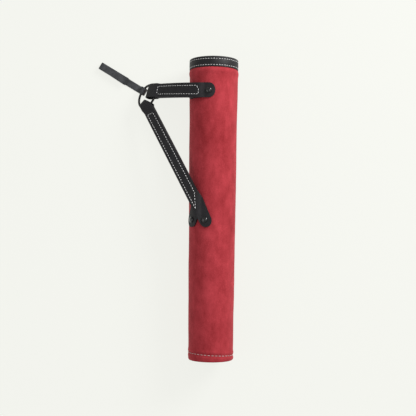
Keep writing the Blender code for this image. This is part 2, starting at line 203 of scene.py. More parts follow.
class QuiverSizes(bpy.types.PropertyGroup):
    """Sizes of the sewing and of the edges"""

    thread: length_property("Thread thickness", "Thickness of the waxed thread", 0.9 * MM)
    strap_pitch: length_property("Strap stitch pitch", "From stitch to stitch along the straps", 4.5 * MM)
    seam_pitch: length_property("Back seam pitch", "From stitch to stitch along the suede's seam", 6 * MM)
    edge_round: length_property("Edge rounding", "Rounding of the straps' cut edges", 0.4 * MM)
    steel_round: length_property("Steel rounding", "Rounding of the hook's sheared edges", 0.25 * MM)


class QuiverColours(bpy.types.PropertyGroup):
    """Colours of the finishes"""

    # Dark and light suede are the nap's painted shade and painted sheen, laid over its real brushed patches.
    suede_shaded_nap: colour_property("Dark suede", "Nap brushed away from the light", (0.25, 0.016, 0.021))
    suede_lit_nap: colour_property("Light suede", "Nap brushed towards the light", (0.5, 0.052, 0.066))
    leather: colour_property("Leather", "Black leather", (0.0065, 0.0058, 0.0068))
    leather_worn: colour_property("Worn leather", "Leather where it is rubbed", (0.022, 0.021, 0.0235))
    thread: colour_property("Thread", "Waxed thread on the leather", (0.78, 0.78, 0.77))
    seam_thread: colour_property("Seam thread", "Thread of the suede's seams", (0.62, 0.4, 0.39))
    lacquer: colour_property("Lacquer", "Black lacquer of the rivet caps", (0.003, 0.003, 0.0035))
    wire: colour_property("Wire", "Blackened wire of the ring", (0.02, 0.02, 0.022))
    steel: colour_property("Steel", "Grey spring steel of the hook", (0.055, 0.057, 0.061))
    floor: colour_property("Floor", "Plain pale floor", (0.905, 0.913, 0.863))


def sizes():
    return bpy.context.scene.quiver_sizes


def colours():
    return bpy.context.scene.quiver_colours


# Finishes


class Finish:
    """A material with its shader, and short ways to add nodes to it."""

    def __init__(self, name, colour, roughness, metallic=0, specular=0.5):
        self.material = bpy.data.materials.new(name)
        self.material.use_nodes = True
        self.tree = self.material.node_tree
        self.shader = self.tree.nodes["Principled BSDF"]
        self.set("Base Color", (*colour, 1))
        self.set("Roughness", roughness)
        self.set("Metallic", metallic)
        self.set("Specular IOR Level", specular)

    def set(self, socket, value):
        self.shader.inputs[socket].default_value = value

    def add(self, kind, **values):
        made = self.tree.nodes.new(kind)
        for name, value in values.items():
            made.inputs[name.replace("_", " ")].default_value = value
        return made

    def link(self, source, target):
        self.tree.links.new(source, target)

    def object_place(self, scale=(1, 1, 1), turn=(0, 0, 0)):
        """Object coordinates, turned and stretched."""
        place = self.add("ShaderNodeTexCoord")
        mapping = self.add("ShaderNodeMapping", Rotation=turn, Scale=scale)
        self.link(place.outputs["Object"], mapping.inputs["Vector"])
        return mapping.outputs["Vector"]

    def leather_place(self):
        """Distances across and along the cut strip, so that the grain goes with the leather."""
        place = self.add("ShaderNodeAttribute")
        place.attribute_name = "leather_place"
        return place.outputs["Vector"]

    def noise(self, place, size, detail=3, roughness=0.5):
        """Soft noise with features of about this size."""
        made = self.add("ShaderNodeTexNoise", Scale=1 / size, Detail=detail, Roughness=roughness)
        self.link(place, made.inputs["Vector"])
        return made.outputs["Fac"]

    def cells(self, place, size):
        """Distance to the middle of the nearest grain cell."""
        made = self.add("ShaderNodeTexVoronoi", Scale=1 / size)
        self.link(place, made.inputs["Vector"])
        return made.outputs["Distance"]

    def mix(self, first, second, share):
        """A share of the second value and the rest of the first."""
        made = self.add("ShaderNodeMix")
        made.inputs["Factor"].default_value = share
        self.link(first, made.inputs["A"])
        self.link(second, made.inputs["B"])
        return made.outputs["Result"]

    def ramp(self, value, stops):
        made = self.add("ShaderNodeValToRGB")
        band = made.color_ramp
        while len(band.elements) < len(stops):
            band.elements.new(0.5)
        for element, (position, colour) in zip(band.elements, stops):
            element.position = position
            element.color = (*colour, 1)
        self.link(value, made.inputs["Fac"])
        return made.outputs["Color"]

    def spread(self, value, low, high, to_low, to_high):
        made = self.add(
            "ShaderNodeMapRange", From_Min=low, From_Max=high, To_Min=to_low, To_Max=to_high
        )
        self.link(value, made.inputs["Value"])
        return made.outputs["Result"]

    def bump(self, height, distance, strength, over=None):
        made = self.add("ShaderNodeBump", Distance=distance, Strength=strength)
        self.link(height, made.inputs["Height"])
        if over:
            self.link(over, made.inputs["Normal"])
        return made.outputs["Normal"]

    def use(self, colour=None, roughness=None, normal=None):
        for source, socket in ((colour, "Base Color"), (roughness, "Roughness"), (normal, "Normal")):
            if source:
                self.link(source, self.shader.inputs[socket])
        return self.material


def between(first, second, share):
    return tuple(a + (b - a) * share for a, b in zip(first, second))


def suede_finish():
    dark, light = colours().suede_shaded_nap, colours().suede_lit_nap
    finish = Finish("suede", between(dark, light, 0.5), 0.93, specular=0.18)
    finish.set("Sheen Weight", 0.2)
    finish.set("Sheen Roughness", 0.45)
    finish.set("Sheen Tint", (1, 0.35, 0.38, 1))
    place = finish.object_place(scale=(1, 0.55, 1))
    plain = finish.object_place()
    patches = finish.noise(place, 42 * MM, 2)
    clouds = finish.noise(place, 11 * MM, 4, 0.6)
    nap = finish.noise(plain, 1.3 * MM, 3, 0.65)
    fibres = finish.noise(plain, 0.45 * MM, 2)
    shade = finish.mix(finish.mix(patches, clouds, 0.6), finish.mix(nap, fibres, 0.4), 0.4)
    # Random patches of brushed nap, coloured between the nap's painted shade and its painted sheen.
    colour = finish.ramp(shade, [(0.36, dark), (0.5, between(dark, light, 0.46)), (0.64, light)])
    soft = finish.bump(clouds, 0.8 * MM, 0.4)
    normal = finish.bump(nap, 0.45 * MM, 0.65, soft)
    return finish.use(colour=colour, normal=normal)


def leather_finish(name, on_strip):
    """Black grained leather. On a strip the grain follows the strip."""
    fresh, worn = colours().leather, colours().leather_worn
    finish = Finish(name, fresh, 0.5, specular=0.24)
    place = finish.leather_place() if on_strip else finish.object_place()
    grain = finish.cells(place, 1.15 * MM)
    creases = finish.noise(place, 3.2 * MM, 3, 0.6)
    rubbing = finish.noise(place, 16 * MM, 4, 0.6)
    pores = finish.noise(place, 0.5 * MM, 2)
    shade = finish.mix(finish.mix(rubbing, grain, 0.3), pores, 0.3)
    colour = finish.ramp(shade, [(0.36, fresh), (0.66, worn)])
    rough = finish.spread(finish.mix(rubbing, creases, 0.5), 0.3, 0.7, 0.4, 0.62)
    normal = finish.bump(creases, 0.25 * MM, 0.35)
    normal = finish.bump(grain, 0.16 * MM, 0.5, normal)
    normal = finish.bump(pores, 0.06 * MM, 0.5, normal)
    return finish.use(colour=colour, roughness=rough, normal=normal)


def thread_finish(name, colour):
    finish = Finish(name, colour, 0.55, specular=0.35)
    finish.set("Sheen Weight", 0.1)
    place = finish.object_place()
    plies = finish.noise(place, 0.5 * MM, 2)
    soiling = finish.noise(place, 9 * MM, 2)
    shade = finish.mix(plies, soiling, 0.5)
    made = finish.ramp(shade, [(0.3, between(colour, (0, 0, 0), 0.28)), (0.6, colour)])
    return finish.use(colour=made, normal=finish.bump(plies, 0.12 * MM, 0.6))


def lacquer_finish():
    lacquer = colours().lacquer
    finish = Finish("black_lacquer", lacquer, 0.2, specular=0.3)
    finish.set("Coat Weight", 0.8)
    finish.set("Coat Roughness", 0.09)
    place = finish.object_place()
    handling = finish.noise(place, 2.4 * MM, 4, 0.65)
    specks = finish.noise(place, 0.4 * MM, 2)
    colour = finish.ramp(finish.mix(handling, specks, 0.3), [(0.5, lacquer), (0.8, (0.025, 0.024, 0.023))])
    rough = finish.spread(handling, 0.35, 0.7, 0.1, 0.24)
    return finish.use(colour=colour, roughness=rough, normal=finish.bump(handling, 0.05 * MM, 0.2))


def wire_finish():
    wire = colours().wire
    finish = Finish("blackened_wire", wire, 0.35, 0.75)
    place = finish.object_place()
    oxide = finish.noise(place, 3 * MM, 4, 0.6)
    pits = finish.noise(place, 0.5 * MM, 3)
    colour = finish.ramp(oxide, [(0.4, wire), (0.72, (0.075, 0.073, 0.07))])
    rough = finish.spread(oxide, 0.3, 0.7, 0.26, 0.5)
    return finish.use(colour=colour, roughness=rough, normal=finish.bump(pits, 0.05 * MM, 0.4))


def steel_finish(heading):
    """Grey spring steel, with fine marks drawn out along the strip."""
    steel = colours().steel
    finish = Finish("grey_spring_steel", steel, 0.5, 0.55)
    drawn = finish.object_place(scale=(0.08, 1, 1), turn=(0, 0, -heading))
    plain = finish.object_place()
    lines = finish.noise(drawn, 0.6 * MM, 3)
    stains = finish.noise(plain, 9 * MM, 4, 0.6)
    pits = finish.noise(plain, 0.7 * MM, 3, 0.6)
    shade = finish.mix(finish.mix(stains, lines, 0.3), pits, 0.25)
    light = between(steel, (0.2, 0.2, 0.21), 0.3)
    dark = between(steel, (0.02, 0.02, 0.022), 0.45)
    colour = finish.ramp(shade, [(0.36, dark), (0.5, steel), (0.66, light)])
    rough = finish.spread(stains, 0.3, 0.7, 0.42, 0.6)
    normal = finish.bump(lines, 0.03 * MM, 0.3)
    return finish.use(colour=colour, roughness=rough, normal=finish.bump(pits, 0.05 * MM, 0.35, normal))


def board_finish():
    """Grey paperboard, wound round in fibres."""
    finish = Finish("paperboard", (0.085, 0.078, 0.07), 0.85, specular=0.2)
    place = finish.object_place(scale=(1, 0.3, 1))
    fibres = finish.noise(place, 1.4 * MM, 5, 0.7)
    blotches = finish.noise(place, 25 * MM, 3)
    shade = finish.mix(fibres, blotches, 0.4)
    colour = finish.ramp(shade, [(0.35, (0.055, 0.05, 0.045)), (0.65, (0.12, 0.112, 0.1))])
    return finish.use(colour=colour, normal=finish.bump(fibres, 0.1 * MM, 0.5))


def felt_finish():
    finish = Finish("charcoal_felt", (0.05, 0.05, 0.055), 0.96, specular=0.1)
    finish.set("Sheen Weight", 0.25)
    place = finish.object_place()
    fibres = finish.noise(place, 0.7 * MM, 5, 0.75)
    clumps = finish.noise(place, 4 * MM, 3)
    shade = finish.mix(fibres, clumps, 0.4)
    colour = finish.ramp(shade, [(0.35, (0.03, 0.03, 0.034)), (0.65, (0.085, 0.085, 0.09))])
    return finish.use(colour=colour, normal=finish.bump(fibres, 0.4 * MM, 0.6))


def floor_finish():
    """Pale floor that stays an even tone, with only a trace of shade under things."""
    floor = colours().floor
    finish = Finish("pale_floor", floor, 0.9, specular=0)
    glow = finish.add("ShaderNodeEmission", Color=(*floor, 1), Strength=1)
    mixed = finish.add("ShaderNodeMixShader")
    mixed.inputs[0].default_value = FLOOR_GLOW
    finish.link(finish.shader.outputs["BSDF"], mixed.inputs[1])
    finish.link(glow.outputs["Emission"], mixed.inputs[2])
    finish.link(mixed.outputs["Shader"], finish.tree.nodes["Material Output"].inputs["Surface"])
    return finish.material


def binding_leather():
    name = "binding_leather"
    return bpy.data.materials.get(name) or leather_finish(name, False)


def waxed_thread():
    name = "waxed_thread"
    return bpy.data.materials.get(name) or thread_finish(name, tuple(colours().thread))


# Shapes


def turned(profile, steps, closed=True):
    """Spins (radius, height) points about Z. An open profile starts and ends on the axis."""
    shape = bmesh.new()
    corners = [shape.verts.new((radius, 0, height)) for radius, height in profile]
    pairs = list(zip(corners, corners[1:])) + ([(corners[-1], corners[0])] if closed else [])
    edges = [shape.edges.new(pair) for pair in pairs]
    bmesh.ops.spin(
        shape,
        geom=corners + edges,
        cent=(0, 0, 0),
        axis=(0, 0, 1),
        angle=2 * math.pi,
        steps=steps,
        use_merge=True,
    )
    bmesh.ops.remove_doubles(shape, verts=shape.verts, dist=1e-6)
    return shape


def arc(centre, radii, start, end, steps):
    """(radius, height) points round part of an ellipse."""
    turns = [start + (end - start) * step / steps for step in range(steps + 1)]
    (x, z), (wide, high) = centre, radii
    return [(x + wide * math.cos(turn), z + high * math.sin(turn)) for turn in turns]


def edge_between(here, there):
    return next(edge for edge in here.link_edges if edge.other_vert(here) is there)


def drawn_out(rows):
    """A strip of faces: the first row of points is drawn out to each of the others in turn."""
    shape = bmesh.new()
    corners = [shape.verts.new(point) for point in rows[0]]
    edges = [shape.edges.new(pair) for pair in zip(corners, corners[1:])]
    for row in rows[1:]:
        drawn = bmesh.ops.extrude_edge_only(shape, edges=edges)["geom"]
        new = {vert for vert in drawn if isinstance(vert, bmesh.types.BMVert)}
        corners = [
            next(edge.other_vert(old) for edge in old.link_edges if edge.other_vert(old) in new)
            for old in corners
        ]
        for corner, point in zip(corners, row):
            corner.co = point
        edges = [edge_between(here, there) for here, there in zip(corners, corners[1:])]
    return shape


def piece(name, shape, material, place=None, stands_for=(), body=None):
    """Makes the object for a finished shape, in place, smooth where it is round."""
    if place:
        bmesh.ops.transform(shape, matrix=place, verts=shape.verts)
    bmesh.ops.recalc_face_normals(shape, faces=shape.faces)
    mesh = bpy.data.meshes.new(name)
    shape.to_mesh(mesh)
    shape.free()
    mesh.shade_smooth()
    mesh.set_sharp_from_angle(angle=42 * DEG)
    mesh.materials.append(material)
    made = bpy.data.objects.new(name, mesh)
    bpy.context.scene.collection.objects.link(made)
    settle(made, stands_for, body)
    return made


def tube_piece(name, shape, material, stands_for=(), place=Matrix()):
    """Makes a piece that is shaped in the tube's own frame and rides on the tube."""
    return piece(name, shape, material, tube_matrix() @ place, stands_for, "tube")


def settle(made, stands_for, body):
    if stands_for:
        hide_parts(*stands_for)
    if body:
        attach(made, body)


def thickened(made, thickness, rounding):
    """Gives a strip its thickness, half on each side, and rounds its edges."""
    walls = made.modifiers.new("thickness", "SOLIDIFY")
    walls.thickness = thickness
    walls.offset = 0
    edges = made.modifiers.new("rounded_edges", "BEVEL")
    edges.width = rounding
    edges.segments = 3
    edges.limit_method = "ANGLE"
    edges.angle_limit = 55 * DEG
    depsgraph = bpy.context.evaluated_depsgraph_get()
    finished = bpy.data.meshes.new_from_object(made.evaluated_get(depsgraph))
    made.modifiers.clear()
    made.data = finished
    finished.shade_smooth()
    finished.set_sharp_from_angle(angle=50 * DEG)


def add_stitch(shape, middle, way, out, length, thickness):
    """One visible length of thread, plump in the middle and drawn in at its ends."""
    side = out.cross(way).normalized()
    place = Matrix.Translation(middle) @ Matrix(
        (out * thickness * 0.45, side * thickness / 2, way * length / 2)
    ).transposed().to_4x4()
    bmesh.ops.create_uvsphere(shape, u_segments=8, v_segments=6, radius=1, matrix=place)


# The tube


def tube_matrix():
    lean = math.asin(TUBE_WAY.z)
    return Matrix.Translation(BASE_CENTRE) @ Matrix.Rotation(lean - math.pi / 2, 4, "X")


def suede_radius(along):
    return BASE_RADIUS + (MOUTH_RADIUS - BASE_RADIUS) * along / TUBE_LENGTH


def on_tube(along, angle, height):
    """A point in the tube's own frame, at a height above the suede."""
    radius = suede_radius(along) + height
    return Vector((radius * math.sin(angle), -radius * math.cos(angle), along))


def out_of_tube(angle):
    return Vector((math.sin(angle), -math.cos(angle), 0))


def round_tube(angle):
    return Vector((math.cos(angle), math.sin(angle), 0))


def liner_bore(along):
    return suede_radius(along) - SLEEVE_WALL - GAP - LINER_WALL


def hump(distance, spread):
    return math.exp(-((distance / spread) ** 2))


def smooth_step(part):
    return part * part * (3 - 2 * part)


def push_out(vert, radius, give):
    """Moves a point of a turned shape away from the axis."""
    vert.co.x *= 1 + give / radius
    vert.co.y *= 1 + give / radius


def angle_of(vert):
    return math.atan2(vert.co.x, -vert.co.y)


def base_seam_height(angle):
    """The bottom seam was sewn by hand, so it wanders."""
    return (10.0 - 1.9 * math.sin(angle) + 1.0 * math.cos(angle)) * MM


def suede_give(along, angle):
    """How far the suede stands out from its even taper."""
    broad = noise.noise(Vector((math.cos(angle) * 1.4, math.sin(angle) * 1.4, along * 20)))
    small = noise.noise(Vector((math.cos(angle) * 5, math.sin(angle) * 5, along * 75)))
    give = min(0.06, -0.32 + 0.45 * broad + 0.16 * small)
    give += hump(along - SWELL_BELOW_BINDING, 4.2 * MM)
    from_seam = along - base_seam_height(angle)
    give -= hump(from_seam, 1.5 * MM)
    give += 0.5 * hump(from_seam - 4.6 * MM, 2.4 * MM) + 0.4 * hump(from_seam + 4.6 * MM, 2.4 * MM)
    give += 0.3 * math.cos(angle * BASE_STITCHES) * hump(from_seam, 5 * MM)
    from_back = ((angle - BACK_SEAM_ANGLE + math.pi) % (2 * math.pi) - math.pi) * suede_radius(along)
    give += 0.25 * hump(abs(from_back) - 3 * MM, 1.5 * MM) - 0.8 * hump(from_back, 0.9 * MM)
    return give * MM


class QUIVER_OT_suede_skin(bpy.types.Operator):
    """Make the suede skin, drawn in at its seams"""

    bl_idname = "quiver.suede_skin"
    bl_label = "Suede skin"

    def execute(self, context):
        low = suede_radius(0)
        tuck = BAND_RADIUS - BAND_LEATHER - GAP
        top = TUBE_LENGTH - 2.4 * MM
        heights = [SKIN_FINE_FOOT + step * SKIN_FINE_STEP for step in range(23)]
        heights += [heights[-1] + step * (SKIN_MOUTH_START - heights[-1]) / 105 for step in range(1, 106)]
        heights += [SKIN_MOUTH_START + step * SKIN_MOUTH_STEP for step in range(1, 20)]
        profile = [
            (low - SLEEVE_WALL, 0.2 * MM),
            (low - 1.7 * MM, 0.2 * MM),
            (low - 1.05 * MM, 0.5 * MM),
            (low - 0.5 * MM, 1.1 * MM),
            (low - 0.16 * MM, 2.0 * MM),
        ]
        profile += [(suede_radius(height), height) for height in heights]
        profile += [
            (suede_radius(BAND_FOOT) - 0.2 * MM, BAND_FOOT - 1.0 * MM),
            (tuck, BAND_FOOT - 0.2 * MM),
            (tuck, top),
            (tuck - SLEEVE_TUCK_WALL, top),
        ]
        shape = turned(profile, 152)
        for vert in shape.verts:
            radius = math.hypot(vert.co.x, vert.co.y)
            along = vert.co.z
            if along <= SKIN_GIVE_END and radius >= suede_radius(along) - 1.5 * MM:
                push_out(vert, radius, suede_give(along, angle_of(vert)))
        tube_piece("suede_skin", shape, suede_finish(), ("suede_sleeve",))
        return {"FINISHED"}


def binding_give(along, angle):
    """How far the binding stands out: uneven all over, and pulled in at each stitch by the mouth."""
    spot = Vector((math.cos(angle) * 3, math.sin(angle) * 3, along * 80))
    give = 0.12 * MM * noise.noise(spot)
    pull = 0.12 * MM * (0.5 + 0.5 * math.cos(angle * BAND_STITCHES))
    return give - pull * hump(along - BAND_ROWS[0], 1.2 * MM)


class QUIVER_OT_mouth_binding(bpy.types.Operator):
    """Make the leather binding folded over the mouth"""

    bl_idname = "quiver.mouth_binding"
    bl_label = "Mouth binding"

    def execute(self, context):
        outer = BAND_RADIUS
        inner = liner_bore(BAND_FOOT) - GAP
        bore = inner - BAND_LEATHER
        inner_foot = BAND_FOOT + 0.6 * MM
        under_top = TUBE_LENGTH - 1.5 * MM
        lip = TUBE_LENGTH - 1.9 * MM
        middle = (outer + bore) / 2
        edge, fold = 0.5 * MM, 0.4 * MM
        profile = arc((outer - edge, BAND_FOOT + edge), (edge, edge), -90 * DEG, 0, 4)
        for row in reversed(BAND_ROWS):
            profile += [
                (outer, row - 1.1 * MM),
                (outer - 0.12 * MM, row - 0.6 * MM),
                (outer - 0.4 * MM, row),
                (outer - 0.12 * MM, row + 0.6 * MM),
                (outer, row + 1.1 * MM),
            ]
            if row < BAND_ROWS[0]:
                profile += [(outer + 0.12 * MM, row + 3.3 * MM), (outer + 0.12 * MM, row + 6.3 * MM)]
        profile += arc((middle, lip), (outer - middle, TUBE_LENGTH - lip), 0, 180 * DEG, 14)
        profile += arc((bore + fold, inner_foot + fold), (fold, fold), 180 * DEG, 270 * DEG, 4)
        profile += [(inner, inner_foot), (inner, under_top), (outer - BAND_LEATHER, under_top)]
        profile += [(outer - BAND_LEATHER, BAND_FOOT)]
        shape = turned(profile, 112)
        for vert in shape.verts:
            radius = math.hypot(vert.co.x, vert.co.y)
            if radius > outer - 0.6 * MM:
                push_out(vert, radius, binding_give(vert.co.z, angle_of(vert)))
        tube_piece("mouth_binding", shape, binding_leather(), ("mouth_band",))
        return {"FINISHED"}


class QUIVER_OT_tube_sewing(bpy.types.Operator):
    """Sew the binding, the bottom seam and the suede's back seam"""

    bl_idname = "quiver.tube_sewing"
    bl_label = "Tube sewing"

    def execute(self, context):
        thread = sizes().thread
        bore = liner_bore(BAND_FOOT) - GAP - BAND_LEATHER
        band = bmesh.new()
        for row in BAND_ROWS:
            for stitch in range(BAND_STITCHES):
                angle = stitch * 2 * math.pi / BAND_STITCHES
                out, way = out_of_tube(angle), round_tube(angle)
                up = Vector((0, 0, row))
                tilt = 0.07 * (1 + noise.noise(Vector((stitch, row * 900, 0))))
                way = (way + Vector((0, 0, tilt))).normalized()
                add_stitch(band, up + out * (BAND_RADIUS - 0.1 * MM), way, out, 2.9 * MM, thread)
                add_stitch(band, up + out * (bore + 0.1 * MM), way, out, 2.6 * MM, thread)
        tube_piece("binding_stitches", band, waxed_thread())
        seams = bmesh.new()
        for stitch in range(BASE_STITCHES):
            angle = (stitch + 0.5) * 2 * math.pi / BASE_STITCHES
            along = base_seam_height(angle)
            tilt = 0.1 * noise.noise(Vector((stitch * 3.7, 0, 0)))
            way = (round_tube(angle) + Vector((0, 0, tilt - 0.05))).normalized()
            middle = on_tube(along, angle, -0.45 * MM)
            add_stitch(seams, middle, way, out_of_tube(angle), 4.3 * MM, thread * 1.2)
        count = round((BAND_FOOT - BACK_SEAM_ENDS) / sizes().seam_pitch)
        for stitch in range(count):
            along = BACK_SEAM_FOOT + stitch * sizes().seam_pitch
            middle = on_tube(along, BACK_SEAM_ANGLE, -0.65 * MM)
            way = Vector((0, 0, 1))
            add_stitch(seams, middle, way, out_of_tube(BACK_SEAM_ANGLE), 4.2 * MM, thread)
        rose = thread_finish("seam_thread", tuple(colours().seam_thread))
        tube_piece("suede_stitches", seams, rose)
        return {"FINISHED"}


class QUIVER_OT_inside(bpy.types.Operator):
    """Finish the stiff tube, the sewn-in bottom and the felt pad"""

    bl_idname = "quiver.inside"
    bl_label = "Inside"

    def execute(self, context):
        finishes = {
            "liner_tube": board_finish(),
            "base_cup": binding_leather(),
            "base_pad": felt_finish(),
        }
        for name, finish in finishes.items():
            mesh = frame["nodes"][name].data
            mesh.materials.clear()
            mesh.materials.append(finish)
        return {"FINISHED"}


def turned_to(way):
    """The turn from +Z to a direction."""
    return way.to_track_quat("Z", "Y").to_matrix().to_4x4()


def front_cap_profile():
    """The post and the domed cap on the leather, with the suede's surface at height 0."""
    seat = GAP + LEATHER + GAP
    foot, post = CAP_FACE - 0.5 * MM, 1.5 * MM
    rim, edge = 0.55 * MM, 0.28 * MM
    profile = [(0, foot), (post, foot), (post, seat - 0.25 * MM)]
    profile += [(DOME_RADIUS - 0.5 * MM, seat - 0.25 * MM)]
    profile += arc((DOME_RADIUS - edge, seat + 0.05 * MM), (edge, edge), -90 * DEG, 20 * DEG, 5)
    dome = (DOME_RADIUS - 0.12 * MM, DOME_HEIGHT - rim + 0.2 * MM)
    return profile + arc((0, seat + rim - 0.2 * MM), dome, 6 * DEG, 90 * DEG, 12)


def back_cap_profile():
    """The cap inside the tube, with a hollow for the post's end."""
    end, floor, socket = CAP_FACE - 1.3 * MM, CAP_FACE - 0.8 * MM, 1.8 * MM
    profile = [(0, end), (3.0 * MM, end)]
    profile += arc((3.4 * MM, CAP_FACE - 0.5 * MM), (0.8 * MM, 0.75 * MM), -80 * DEG, 0, 6)
    return profile + [(4.2 * MM, CAP_FACE), (socket, CAP_FACE), (socket, floor), (0, floor)]


class QUIVER_OT_rivets(bpy.types.Operator):
    """Make the domed rivets and their back caps"""

    bl_idname = "quiver.rivets"
    bl_label = "Rivets"

    def execute(self, context):
        lacquer = lacquer_finish()
        for name, (along, angle) in RIVETS.items():
            out = out_of_tube(angle) + Vector((0, 0, -(MOUTH_RADIUS - BASE_RADIUS) / TUBE_LENGTH))
            place = Matrix.Translation(on_tube(along, angle, 0)) @ turned_to(out)
            for part, profile in (("rivet", front_cap_profile()), ("rivet_back", back_cap_profile())):
                node = f"{name}_{part}"
                cap = turned(profile, 36, closed=False)
                tube_piece(f"{node}_cap", cap, lacquer, (node,), place)
        return {"FINISHED"}


# The straps


def hinge_point(strap):
    """Where a strap's middle crosses the split line, in the world."""
    return tube_matrix() @ on_tube(STRAPS[strap]["crossing"], SPLIT_ANGLE, HINGE_LIFT)


def hinge_line():
    return (hinge_point("upper") - hinge_point("lower")).normalized()


def strap_line(strap):
    """The strap's middle line, from its fold to the split line, and its length."""
    facts = STRAPS[strap]
    start = Vector((BASE_CENTRE.x, BASE_CENTRE.y, 0)) + facts["fold"]
    end = hinge_point(strap)
    plan = Vector((end.x - start.x, end.y - start.y, 0))
    length, heading = plan.length, plan.normalized()
    rise_start, rise_end = (math.tan(slope) for slope in facts["slopes"])
    meet = (end.z - start.z - rise_end * length) / (rise_start - rise_end)
    knee = start + heading * meet + Vector((0, 0, rise_start * meet))

    def point_at(t):
        return start * (1 - t) ** 2 + knee * 2 * t * (1 - t) + end * t * t

    def way_at(t):
        return ((knee - start) * (1 - t) + (end - knee) * t).normalized()

    points = [point_at(i / CURVE_SAMPLES) for i in range(CURVE_SAMPLES + 1)]
    runs = [0]
    for here, there in zip(points, points[1:]):
        runs.append(runs[-1] + (there - here).length)

    def level_and_upright(tangent):
        level = Vector((-tangent.y, tangent.x, 0)).normalized()
        return level, tangent.cross(level)

    end_tangent = way_at(1)
    beside_end = hinge_line().cross(end_tangent)
    level, upright = level_and_upright(end_tangent)
    end_roll = math.atan(-level.dot(beside_end) / upright.dot(beside_end))

    def line(run):
        """At a distance from the fold: the point, the way on, the way across and the normal."""
        inside = min(max(run, 0), runs[-1])
        i = min(bisect.bisect_right(runs, inside), CURVE_SAMPLES) - 1
        t = (i + (inside - runs[i]) / (runs[i + 1] - runs[i])) / CURVE_SAMPLES
        tangent = way_at(t)
        point = point_at(t) + tangent * (run - inside)
        level, upright = level_and_upright(tangent)
        roll = facts["roll"] * (1 - t) + end_roll * t
        across = level * math.cos(roll) + upright * math.sin(roll)
        normal = upright * math.cos(roll) - level * math.sin(roll)
        return point, tangent, across, normal

    return line, runs[-1]


def split_slant(line, length):
    """How far a strap's split line runs along it for each unit across it."""
    _, tangent, across, _ = line(length)
    return tangent.dot(hinge_line()) / across.dot(hinge_line())


def half_height(strap, run):
    """From the strap's middle to the middle of each layer, more in the loop round the ring."""
    loop_full, loop_end = STRAPS[strap]["loop"]
    part = min(1, max(0, (loop_end - run) / (loop_end - loop_full)))
    return LAYER_SPACING / 2 + (LOOP_HALF_HEIGHT - LAYER_SPACING / 2) * smooth_step(part)


def eased(start, end, start_slope, reach, at):
    """A smooth way from one height to another that ends level."""
    t = min(1, max(0, at / reach))
    level = start * (2 * t**3 - 3 * t**2 + 1) + end * (3 * t**2 - 2 * t**3)
    return level + reach * start_slope * (t**3 - 2 * t**2 + t)


def turn_drift(strap, turn):
    """How far a slanting strip has moved down the tube part way round its turn."""
    slant = STRAPS[strap]["slant"]
    return TURN_RADIUS * min(turn, 90 * DEG) * math.cos(slant) / math.sin(slant)


def tail_rows(strap, side, columns):
    """Rows from the split line to the tail's rounded end, lying down on to the suede."""
    facts = STRAPS[strap]
    line, length = strap_line(strap)
    _, tangent, across, _ = line(length)
    slant = split_slant(line, length)
    spread = (across + tangent * slant).length
    lean, half_width = facts["slant"], facts["half_width"]
    along_rivet, angle_rivet = RIVETS[f"{strap}_{side}"]
    arc_rivet = abs(angle_rivet - SPLIT_ANGLE) * suede_radius(along_rivet)
    straight = math.hypot(arc_rivet, facts["crossing"] - along_rivet)
    sign = 1 if side == "front" else -1
    flat = GAP + LEATHER / 2
    steps = 26
    rows = []
    for step in range(steps + 1):
        part = (step / steps) ** 1.25
        row = []
        for column in columns:
            aside = column * half_width
            start = -aside * math.cos(lean) / math.sin(lean)
            end = straight + facts["reach"] * math.sqrt(max(0, 1 - column * column))
            run = start + (end - start) * part
            away = run * math.sin(lean) + aside * math.cos(lean)
            ease = smooth_step(min(1, away / facts["landing"]))
            widening = 1 / math.sin(lean)
            along = facts["crossing"] - away * math.cos(lean) / math.sin(lean)
            along += aside * (spread + (widening - spread) * ease)
            height = flat
            if side == "back":
                along -= turn_drift(strap, 90 * DEG) * (1 - smooth_step(min(1, away / TURN_EASE)))
            if side == "front":
                top = HINGE_LIFT + LAYER_SPACING / 2
                height = eased(top, flat, LANDING_SLOPE, facts["landing"], away)
            angle = SPLIT_ANGLE + sign * away / suede_radius(along)
            row.append(tube_matrix() @ on_tube(along, angle, height))
        rows.append(row)
    return rows


def turn_rows(strap, columns):
    """Rows where the under layer turns back on itself, down to the tail."""
    facts = STRAPS[strap]
    line, length = strap_line(strap)
    _, tangent, across, _ = line(length)
    spread = (across + tangent * split_slant(line, length)).length
    foot = GAP + LEATHER / 2
    rows = []
    for step in range(1, 12):
        turn = 180 * DEG * step / 12
        row = []
        for column in columns:
            along = facts["crossing"] + column * facts["half_width"] * spread - turn_drift(strap, turn)
            angle = SPLIT_ANGLE + TURN_RADIUS * math.sin(turn) / suede_radius(along)
            row.append(tube_matrix() @ on_tube(along, angle, foot + TURN_RADIUS * (1 + math.cos(turn))))
        rows.append(row)
    return rows


def layer_rows(strap, columns):
    """Rows of the top layer from the split line to the ring, round the fold, and back below."""
    facts = STRAPS[strap]
    line, length = strap_line(strap)
    slant = split_slant(line, length)
    loop_end = facts["loop"][1]
    cut_across, cut_along = facts["corner"]
    half_width = facts["half_width"]
    nose = LOOP_HALF_HEIGHT + LEATHER / 2
    runs = [nose + (loop_end - nose) * step / 10 for step in range(10)]
    runs += [loop_end + (length - loop_end) * step / 30 for step in range(31)]
    path = [(run, half_height(strap, run)) for run in reversed(runs)]
    for step in range(1, 16):
        turn = step * 180 * DEG / 16
        path.append((nose - LOOP_HALF_HEIGHT * math.sin(turn), LOOP_HALF_HEIGHT * math.cos(turn)))
    path += [(run, -half_height(strap, run)) for run in runs]
    rows = []
    for run, height in path:
        trimmed = cut_across * max(0, 1 - max(0, run) / cut_along)
        row = []
        for column in columns:
            aside = -half_width + (column + 1) / 2 * (2 * half_width - trimmed)
            at = run + slant * aside * max(0, run - loop_end) / (length - loop_end)
            point, _, across, normal = line(at)
            row.append(point + across * aside + normal * height)
        rows.append(row)
    return rows


